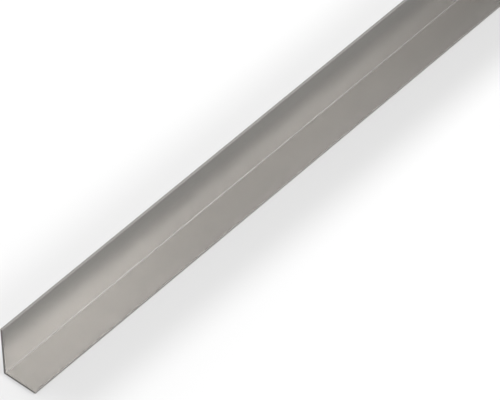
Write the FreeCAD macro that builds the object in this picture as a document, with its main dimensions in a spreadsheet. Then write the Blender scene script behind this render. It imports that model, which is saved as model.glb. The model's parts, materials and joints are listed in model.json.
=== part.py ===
import FreeCAD, Part
import Sketcher
import os

# An aluminium angle, extruded as one piece with one tall and one short leg and sawn off square at both ends.
# The short leg lies flat, the tall leg stands along its -X edge and the length runs along Y. Millimetres,
# with the origin at the centre of the underside.

doc = FreeCAD.newDocument("angle_section")

# Driving sizes. Both legs are measured over the outside, from heel to toe.

drivingSizes = {
    "tall_leg": "35.5",
    "short_leg": "23.5",
    "wall": "1.5",
    "stock_length": "1000",
    "root_radius": "0.2",
    "arris_radius": "0.15",
    "saw_deburr": "0.1",
}

sheet = doc.addObject("Spreadsheet::Sheet", "sizes")
for row, (alias, value) in enumerate(drivingSizes.items(), start=1):
    sheet.set(f"A{row}", alias)
    sheet.set(f"B{row}", value)
    sheet.setAlias(f"B{row}", alias)
doc.recompute()

# Two places nearer than this are the same place.
touching = Part.Precision.approximation()


def lengthwiseEdges(feature, corners):
    """Names of the feature's edges that run the whole length at the given corners of the section."""
    middles = [FreeCAD.Vector(x, 0, z) for x, z in corners]
    return [
        f"Edge{number}"
        for number, edge in enumerate(feature.Shape.Edges, start=1)
        if any(edge.CenterOfMass.isEqual(middle, touching) for middle in middles)
    ]


def endEdges(feature, reach):
    """Names of the edges around both sawn ends, which lie at the given reach from the middle."""
    return [
        f"Edge{number}"
        for number, edge in enumerate(feature.Shape.Edges, start=1)
        if all(abs(abs(vertex.Y) - reach) < touching for vertex in edge.Vertexes)
    ]


def section(body):
    """The sharp-cornered outline of the angle, heel at the origin, drawn looking along the length."""
    sketch = body.newObject("Sketcher::SketchObject", "section")
    uprightPlane = next(plane for plane in body.Origin.OriginFeatures if plane.Role == "XZ_Plane")
    sketch.AttachmentSupport = [(uprightPlane, "")]
    sketch.MapMode = "FlatFace"

    tall, short, wall = sheet.tall_leg, sheet.short_leg, sheet.wall
    corners = [(0, 0), (short, 0), (short, wall), (wall, wall), (wall, tall), (0, tall)]
    points = [FreeCAD.Vector(x, y, 0) for x, y in corners]
    underside, shortToe, shortInside, tallInside, tallToe, back = range(len(points))
    for start, end in zip(points, points[1:] + points[:1]):
        sketch.addGeometry(Part.LineSegment(start, end))

    startOf, endOf = 1, 2
    for line in range(len(points)):
        following = (line + 1) % len(points)
        sketch.addConstraint(Sketcher.Constraint("Coincident", line, endOf, following, startOf))
    for line in (underside, shortInside, tallToe):
        sketch.addConstraint(Sketcher.Constraint("Horizontal", line))
    for line in (shortToe, tallInside, back):
        sketch.addConstraint(Sketcher.Constraint("Vertical", line))
    originPoint = -1
    sketch.addConstraint(Sketcher.Constraint("Coincident", underside, startOf, originPoint, startOf))

    lengths = (
        ("short_leg", underside, short, "short_leg"),
        ("tall_leg", back, tall, "tall_leg"),
        ("short_wall", shortToe, wall, "wall"),
        ("tall_wall", tallToe, wall, "wall"),
    )
    for name, line, length, alias in lengths:
        constraint = sketch.addConstraint(Sketcher.Constraint("Distance", line, length))
        sketch.renameConstraint(constraint, name)
        sketch.setExpression(f"Constraints.{name}", f"sizes.{alias}")
    doc.recompute()
    return sketch


def angleSection():
    """The one piece of stock: section, extrusion, root fillet, broken arrises and deburred saw cuts."""
    body = doc.addObject("PartDesign::Body", "angle_section")
    tall, short, wall = sheet.tall_leg, sheet.short_leg, sheet.wall

    extrusion = body.newObject("PartDesign::Pad", "extrusion")
    extrusion.Profile = section(body)
    extrusion.SideType = "Symmetric"
    extrusion.setExpression("Length", "sizes.stock_length")
    doc.recompute()

    root = body.newObject("PartDesign::Fillet", "root")
    root.Base = (extrusion, lengthwiseEdges(extrusion, [(wall, wall)]))
    root.setExpression("Radius", "sizes.root_radius")
    doc.recompute()

    outerCorners = [(0, 0), (short, 0), (short, wall), (wall, tall), (0, tall)]
    arrises = body.newObject("PartDesign::Fillet", "arrises")
    arrises.Base = (root, lengthwiseEdges(root, outerCorners))
    arrises.setExpression("Radius", "sizes.arris_radius")
    doc.recompute()

    sawnEnds = body.newObject("PartDesign::Chamfer", "sawn_ends")
    sawnEnds.Base = (arrises, endEdges(arrises, sheet.stock_length / 2))
    sawnEnds.setExpression("Size", "sizes.saw_deburr")
    body.Tip = sawnEnds

    body.setExpression("Placement.Base.x", "-sizes.short_leg / 2")
    doc.recompute()
    return body


subParts = [angleSection()]

for item in doc.Objects:
    if {"Invalid", "Error"} & set(item.State):
        raise RuntimeError(f"{item.Label} failed: {item.State}")
for subPart in subParts:
    if subPart.Shape.isNull() or not subPart.Shape.isValid():
        raise RuntimeError(f"{subPart.Label} has no valid shape")

os.makedirs("parts", exist_ok=True)
for subPart in subParts:
    subPart.Shape.exportStep(f"parts/{subPart.Label}.step")
    box = subPart.Shape.BoundBox
    print(f"{subPart.Label}: {box.XLength:.2f} x {box.YLength:.2f} x {box.ZLength:.2f} mm,")
    print(f"  {len(subPart.Shape.Solids)} solid, {len(subPart.Shape.Faces)} faces,")
    print(f"  volume {subPart.Shape.Volume:.1f} mm3")
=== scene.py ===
import json
import math

import bpy
from mathutils import Matrix, Vector


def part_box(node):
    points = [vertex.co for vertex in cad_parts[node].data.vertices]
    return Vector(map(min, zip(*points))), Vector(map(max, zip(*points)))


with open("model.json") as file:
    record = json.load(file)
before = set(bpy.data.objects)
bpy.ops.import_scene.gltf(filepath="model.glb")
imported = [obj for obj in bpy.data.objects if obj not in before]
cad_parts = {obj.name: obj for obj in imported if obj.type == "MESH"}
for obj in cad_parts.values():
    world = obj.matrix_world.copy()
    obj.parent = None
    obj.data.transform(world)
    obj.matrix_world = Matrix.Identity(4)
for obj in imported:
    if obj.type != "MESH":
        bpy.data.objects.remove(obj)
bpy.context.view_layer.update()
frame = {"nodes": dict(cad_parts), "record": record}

# A length of satin anodised aluminium angle on a pale studio floor. Metres, in the frame of the CAD part:
# the length runs along Y, the short leg lies on the floor and the tall leg stands along its -X edge.

bar = frame["nodes"]["angle_section"]
barLow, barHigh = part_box("angle_section")
mm = 0.001
faces = {mount["name"]: Vector(mount["pos_m"]) for mount in frame["record"]["mounts"]}
wall = faces["inside_short_leg"].z  # thickness of both legs
print("frame loaded, bar and wall in mm:", [round(size / mm, 1) for size in (*(barHigh - barLow), wall)])


# Helpers for node trees

def feed(tree, value, socket):
    # a socket gets a link, a plain value is set on the input itself
    if isinstance(value, bpy.types.NodeSocket):
        tree.links.new(value, socket)
    else:
        socket.default_value = value


def addNode(tree, kind, inputs=None, **settings):
    node = tree.nodes.new("ShaderNode" + kind)
    for name, value in settings.items():
        setattr(node, name, value)
    for socket, value in (inputs or {}).items():
        feed(tree, value, node.inputs[socket])
    return node


def maths(tree, operation, *values):
    return addNode(tree, "Math", dict(enumerate(values)), operation=operation).outputs[0]


def ramp(tree, value, low, high, start=0.0, end=1.0):
    # carries low..high over to start..end, level beyond them and soft at both
    inputs = {"Value": value, "From Min": low, "From Max": high, "To Min": start, "To Max": end}
    return addNode(tree, "MapRange", inputs, interpolation_type="SMOOTHSTEP").outputs["Result"]


def mix(tree, kind, ending, factor, first, second):
    # the node has sockets for each kind of value, told apart by the ending of their identifiers
    node = addNode(tree, "Mix", data_type=kind)
    values = {"Factor_Float": factor, "A_" + ending: first, "B_" + ending: second}
    for socket in node.inputs:
        if socket.identifier in values:
            feed(tree, values[socket.identifier], socket)
    return next(socket for socket in node.outputs if socket.identifier == "Result_" + ending)


def mixColour(tree, factor, first, second):
    return mix(tree, "RGBA", "Color", factor, first, second)


def mixValue(tree, factor, first, second):
    return mix(tree, "FLOAT", "Float", factor, first, second)


def noise(tree, place, size, detail):
    # cloudy values about 0.5 whose features measure size along X, Y and Z
    scale = tuple(1 / length for length in size)
    scaled = addNode(tree, "Mapping", {"Vector": place, "Scale": scale}).outputs[0]
    return addNode(tree, "TexNoise", {"Vector": scaled, "Scale": 1.0, "Detail": detail}).outputs["Fac"]


def newMaterial(name):
    material = bpy.data.materials.new(name)
    material.use_nodes = True
    tree = material.node_tree
    return material, tree, tree.nodes["Principled BSDF"]


# The bar: drawn and etched aluminium under a clear anodised skin, sawn bare at the ends

finish = {
    "darkTone": (0.274, 0.266, 0.255, 1.0),
    "lightTone": (0.295, 0.286, 0.274, 1.0),
    "toneSpan": (0.3, 0.7),  # the part of a noise that runs from one look to the other
    "softDetail": 1.0,
    "fineDetail": 2.0,
    "lineShare": 0.45,  # how much of the tone comes from die lines, the rest is slow drift
    "drift": (45 * mm, 240 * mm, 45 * mm),
    "smooth": 0.25,  # roughness, from here
    "matt": 0.268,  # to here
    "etchShare": 0.5,  # how much of smooth or matt comes from the etch, the rest is die lines
    "drawnAcross": 0.85,  # how much wider the sheen spreads across the die lines than along them
    "acrossTurn": 0.25,  # a quarter turn, which swings that spread from along the bar to across it
    "dieLine": (0.4 * mm, 180 * mm, 0.4 * mm),
    "dieLineDepth": 0.0009 * mm,
    "etch": (0.3 * mm, 0.45 * mm, 0.3 * mm),
    "etchDepth": 0.0002 * mm,
    "rubbedTone": (0.34, 0.331, 0.318, 1.0),
    "rubbed": 0.3,  # how far the outer corners are rubbed towards that tone
    "rubbedWidth": 0.3 * mm,
    "rubbedRoughness": 0.38,
    "rubbedPatch": (3 * mm, 14 * mm, 3 * mm),
    "rubbedLeast": 0.5,  # share of the rubbing that is left where it is weakest
    "burnished": 0.3,  # how far the saw's edge is burnished towards the rubbed tone
    "burnishedWidth": 0.6 * mm,
    "rootPaintedShade": (0.178, 0.172, 0.164, 1.0),  # painted shade: a darker tone in the root corner, which dims its highlight
    "rootRoughness": 0.4,
    "edgePaintedShade": (0.165, 0.16, 0.152, 1.0),  # painted shade: darker still on the toe and at the tall leg's inner top corner, which dims their highlights
    "dullRoughness": 0.55,
    "cornerWidth": 0.3 * mm,  # reach of both about an inner corner
    "toeReach": (0.3 * mm, 0.15 * mm),  # how far from the toe's face the dull part begins and is full
    "topPaintedShade": (0.255, 0.247, 0.237, 1.0),  # the tall leg's top is matt and takes in more of the room; its darker tone is painted shade, set for how pale the lit top renders
    "topRoughness": 0.68,
    "topReach": (0.1 * mm, 0.03 * mm),  # how far from the top the matt part begins and is full
    # painted shade: the bare sawn ends are darkened for the shade on the end faces; the saw marks between
    # these tones are real
    "sawnDark": (0.12, 0.115, 0.11, 1.0),
    "sawnLight": (0.24, 0.232, 0.22, 1.0),
    "sawnRoughness": 0.5,
    "sawnReach": (0.12 * mm, 0.06 * mm),  # how far from the end bare metal begins and is full
    "sawMark": (2.4 * mm, 1.0 * mm, 0.35 * mm),
    "sawMarkDepth": 0.02 * mm,
}


def nearLines(tree, place, corners, width):
    # 1 on the lengthwise lines through these corners of the section, fading out over the width
    section = addNode(tree, "VectorMath", {0: place, 1: (1, 0, 1)}, operation="MULTIPLY").outputs["Vector"]
    gaps = [
        addNode(tree, "VectorMath", {0: section, 1: (x, 0, z)}, operation="DISTANCE").outputs["Value"]
        for x, z in corners
    ]
    nearest = gaps[0]
    for gap in gaps[1:]:
        nearest = maths(tree, "MINIMUM", nearest, gap)
    return ramp(tree, nearest, width, 0.0)


def satinAnodised():
    material, tree, shader = newMaterial("satinAnodised")
    place = addNode(tree, "TexCoord").outputs["Object"]
    axes = addNode(tree, "SeparateXYZ", {0: place}).outputs
    fromMiddle = maths(tree, "ABSOLUTE", axes["Y"])
    lines = noise(tree, place, finish["dieLine"], finish["fineDetail"])
    etch = noise(tree, place, finish["etch"], finish["softDetail"])
    marks = noise(tree, place, finish["sawMark"], finish["fineDetail"])
    inner = barLow.x + wall
    rubbedCorners = ((barLow.x, 0), (barHigh.x, 0), (barLow.x, barHigh.z))
    root = nearLines(tree, place, [(inner, wall)], finish["cornerWidth"])
    # the toe and the tall leg's inner top corner: rougher, and darker as painted shade
    toe = ramp(tree, axes["X"], *(barHigh.x - reach for reach in finish["toeReach"]))
    dullAndShaded = maths(tree, "MAXIMUM", toe, nearLines(tree, place, [(inner, barHigh.z)], finish["cornerWidth"]))
    top = ramp(tree, axes["Z"], *(barHigh.z - reach for reach in finish["topReach"]))
    cut = ramp(tree, fromMiddle, *(barHigh.y - reach for reach in finish["sawnReach"]))

    # colour: slow drift and faint die lines, painted shade in the root, on the toe, at the inner top corner
    # and along the top, paler where rubbed or burnished, and saw-marked bare metal on the cut itself,
    # painted dark as the end face's shade
    drift = noise(tree, place, finish["drift"], finish["softDetail"])
    tone = ramp(tree, mixValue(tree, finish["lineShare"], drift, lines), *finish["toneSpan"])
    colour = mixColour(tree, tone, finish["darkTone"], finish["lightTone"])
    # painted shade in the root, on the toe and inner top corner, and on the top face
    for mask, name in ((root, "rootPaintedShade"), (dullAndShaded, "edgePaintedShade"), (top, "topPaintedShade")):
        colour = mixColour(tree, mask, colour, finish[name])
    corner = nearLines(tree, place, rubbedCorners, finish["rubbedWidth"])
    end = ramp(tree, fromMiddle, barHigh.y - finish["burnishedWidth"], barHigh.y, 0.0, finish["burnished"])
    patch = noise(tree, place, finish["rubbedPatch"], finish["fineDetail"])
    patch = ramp(tree, patch, *finish["toneSpan"], finish["rubbedLeast"])
    rubbed = maths(tree, "MAXIMUM", maths(tree, "MULTIPLY", corner, finish["rubbed"]), end)
    rubbed = maths(tree, "MULTIPLY", rubbed, patch)
    colour = mixColour(tree, rubbed, colour, finish["rubbedTone"])
    # saw-marked bare metal, painted dark for the shade on the end face
    sawn = mixColour(tree, marks, finish["sawnDark"], finish["sawnLight"])
    feed(tree, mixColour(tree, cut, colour, sawn), shader.inputs["Base Color"])

    # sheen: satin, drawn out across the die lines and matt on the cut
    satin = ramp(tree, mixValue(tree, finish["etchShare"], lines, etch), *finish["toneSpan"])
    satin = mixValue(tree, satin, finish["smooth"], finish["matt"])
    satin = mixValue(tree, corner, satin, finish["rubbedRoughness"])
    for mask, name in ((root, "rootRoughness"), (dullAndShaded, "dullRoughness"), (top, "topRoughness")):
        satin = mixValue(tree, mask, satin, finish[name])
    feed(tree, mixValue(tree, cut, satin, finish["sawnRoughness"]), shader.inputs["Roughness"])
    along = addNode(tree, "CombineXYZ", {"Y": 1.0}).outputs[0]
    toWorld = {"vector_type": "VECTOR", "convert_from": "OBJECT", "convert_to": "WORLD"}
    feed(tree, addNode(tree, "VectorTransform", {0: along}, **toWorld).outputs[0], shader.inputs["Tangent"])
    shader.inputs["Metallic"].default_value = 1.0
    shader.inputs["Anisotropic"].default_value = finish["drawnAcross"]
    shader.inputs["Anisotropic Rotation"].default_value = finish["acrossTurn"]

    # relief: die lines, etch grain and saw marks
    relief = addNode(tree, "Bump", {"Height": lines, "Distance": finish["dieLineDepth"]}).outputs[0]
    cutMarks = maths(tree, "MULTIPLY", marks, cut)
    for height, depth in ((etch, finish["etchDepth"]), (cutMarks, finish["sawMarkDepth"])):
        relief = addNode(tree, "Bump", {"Height": height, "Distance": depth, "Normal": relief}).outputs[0]
    feed(tree, relief, shader.inputs["Normal"])
    return material


bar.data.materials.clear()
bar.data.materials.append(satinAnodised())
print("bar finished")


# Floor: plain and pale, lit by the lamps near the bar and glowing on out to the horizon, with a painted
# shadow where its glow is lower just past the toe

floorLook = {
    "size": 200.0,
    "colour": (0.3, 0.3, 0.3, 1.0),
    "roughness": 1.0,
    "gloss": 0.0,
    "glowColour": (1.0, 1.0, 1.0, 1.0),
    "paintedShadowGlow": (0.42, 0.35),  # painted shadow: lower glow just past the toe, from the near end on to the middle of the bar
    "paintedShadowReach": (15 * mm, 50 * mm),  # how far from the toe it gives way to the next
    "nearGlow": 0.56,
    "farReach": (0.7, 3.0),  # how far from the middle of the bar it gives way to the last
    "farGlow": 0.95,
}


def paleFloor():
    half = floorLook["size"] / 2
    mesh = bpy.data.meshes.new("floor")
    corners = [(-half, -half, 0), (half, -half, 0), (half, half, 0), (-half, half, 0)]
    mesh.from_pydata(corners, [], [(0, 1, 2, 3)])
    floor = bpy.data.objects.new("floor", mesh)
    bpy.context.scene.collection.objects.link(floor)
    material, tree, shader = newMaterial("paleFloor")
    shader.inputs["Base Color"].default_value = floorLook["colour"]
    shader.inputs["Roughness"].default_value = floorLook["roughness"]
    shader.inputs["Specular IOR Level"].default_value = floorLook["gloss"]
    shader.inputs["Emission Color"].default_value = floorLook["glowColour"]
    rays = addNode(tree, "LightPath").outputs
    seen = maths(tree, "MAXIMUM", rays["Is Camera Ray"], rays["Is Glossy Ray"])
    seen = maths(tree, "MAXIMUM", seen, rays["Is Transmission Ray"])
    place = addNode(tree, "TexCoord").outputs["Object"]
    axes = addNode(tree, "SeparateXYZ", {0: place}).outputs
    side = maths(tree, "SUBTRACT", axes["X"], barHigh.x)
    beyond = maths(tree, "SUBTRACT", maths(tree, "ABSOLUTE", axes["Y"]), barHigh.y)
    fromToe = addNode(tree, "CombineXYZ", {"X": side, "Y": maths(tree, "MAXIMUM", beyond, 0.0)}).outputs[0]
    fromToe = addNode(tree, "VectorMath", {0: fromToe}, operation="LENGTH").outputs["Value"]
    middle = (barLow.y + barHigh.y) / 2
    # painted shadow: the glow is lower in a strip just past the toe
    paintedShadow = ramp(tree, axes["Y"], barLow.y, middle, *floorLook["paintedShadowGlow"])
    near = ramp(tree, fromToe, *floorLook["paintedShadowReach"], paintedShadow, floorLook["nearGlow"])
    away = addNode(tree, "VectorMath", {0: place}, operation="LENGTH").outputs["Value"]
    glow = mixValue(tree, ramp(tree, away, *floorLook["farReach"]), near, floorLook["farGlow"])
    feed(tree, maths(tree, "MULTIPLY", seen, glow), shader.inputs["Emission Strength"])
    mesh.materials.append(material)


paleFloor()
print("floor laid")


# Light: soft boxes about the bar, and a dim room that is pale at the horizon

lightAim = Vector((0.0, -0.3, 0.02))
softBoxes = {
    "key": {"azimuth": 35, "elevation": 25, "distance": 1.8, "size": (0.45, 0.45), "level": 0.52},
    "upper": {"azimuth": 25, "elevation": 35, "distance": 1.8, "size": (0.45, 0.45), "level": 0.49},
    "along": {"azimuth": 50, "elevation": 27, "distance": 1.8, "size": (0.45, 0.45), "level": 0.115},
    "sky": {"azimuth": 120, "elevation": 50, "distance": 1.8, "size": (1.1, 1.1), "level": 0.055},
    "rear": {"azimuth": 185, "elevation": 25, "distance": 2.0, "size": (1.6, 1.0), "level": 0.92},
}
room = {
    "colour": (1.0, 1.0, 1.0, 1.0),
    "plain": 0.8,
    "dim": 0.1,  # a dimmer belt over the bar, which its legs show at the photograph's angle
    "belt": 0.52,  # middle of the belt, as the share of its direction that runs along the bar
    "beltReach": (0.1, 0.22),  # how far from its middle the belt begins to fade and ends
    "horizon": 1.0,
    "horizonReach": (0.0, 0.45),  # height of the pale horizon, as the sine of its angle
}


def outwards(azimuth, elevation):
    # unit vector to a place seen at these angles, the azimuth counted from +X towards +Y
    a, e = math.radians(azimuth), math.radians(elevation)
    return Vector((math.cos(a) * math.cos(e), math.sin(a) * math.cos(e), math.sin(e)))


def softBox(name, azimuth, elevation, distance, size, level):
    light = bpy.data.lights.new(name, "AREA")
    light.shape = "RECTANGLE"
    light.size, light.size_y = size
    light.energy = level * (math.pi * distance) ** 2  # level 1 shows a white card that faces it as white
    lamp = bpy.data.objects.new(name, light)
    away = outwards(azimuth, elevation)
    lamp.location = lightAim + away * distance
    lamp.rotation_euler = away.to_track_quat("Z", "Y").to_euler()
    lamp.visible_camera = False
    bpy.context.scene.collection.objects.link(lamp)


def paleRoom():
    world = bpy.data.worlds.new("room")
    world.use_nodes = True
    tree = world.node_tree
    background = tree.nodes["Background"]
    background.inputs["Color"].default_value = room["colour"]
    direction = addNode(tree, "TexCoord").outputs["Generated"]
    direction = addNode(tree, "SeparateXYZ", {0: direction})
    aside = maths(tree, "ABSOLUTE", maths(tree, "SUBTRACT", direction.outputs["Y"], room["belt"]))
    above = ramp(tree, aside, *room["beltReach"], room["dim"], room["plain"])
    height = ramp(tree, direction.outputs["Z"], *room["horizonReach"])
    feed(tree, mixValue(tree, height, room["horizon"], above), background.inputs["Strength"])
    bpy.context.scene.world = world


for name, box in softBoxes.items():
    softBox(name, **box)
paleRoom()
bpy.context.scene.view_settings.view_transform = "Standard"
print("lights placed")


# Camera, at the photograph's viewing angle

view = {
    "aim": (0.0048, -0.3144, 0.0015),
    "nearEnd": -90,  # azimuth of a view square on to the near end
    "azimuth": 41.77,  # from there round towards +X
    "elevation": 45.35,
    "roll": -1.16,
    "distance": 2.308,
    "lens": 293.4,
    "reach": 100.0,  # how far the camera sees
}


def placeCamera():
    camera = bpy.data.objects.new("camera", bpy.data.cameras.new("camera"))
    camera.data.lens = view["lens"]
    camera.data.clip_end = view["reach"]
    back = outwards(view["nearEnd"] + view["azimuth"], view["elevation"])
    level = outwards(view["azimuth"], 0)
    roll = math.radians(view["roll"])
    right = level * math.cos(roll) + back.cross(level) * math.sin(roll)
    axes = Matrix((right, back.cross(right), back)).transposed()
    camera.matrix_world = Matrix.Translation(Vector(view["aim"]) + back * view["distance"]) @ axes.to_4x4()
    bpy.context.scene.collection.objects.link(camera)
    bpy.context.scene.camera = camera


placeCamera()
print("camera placed")
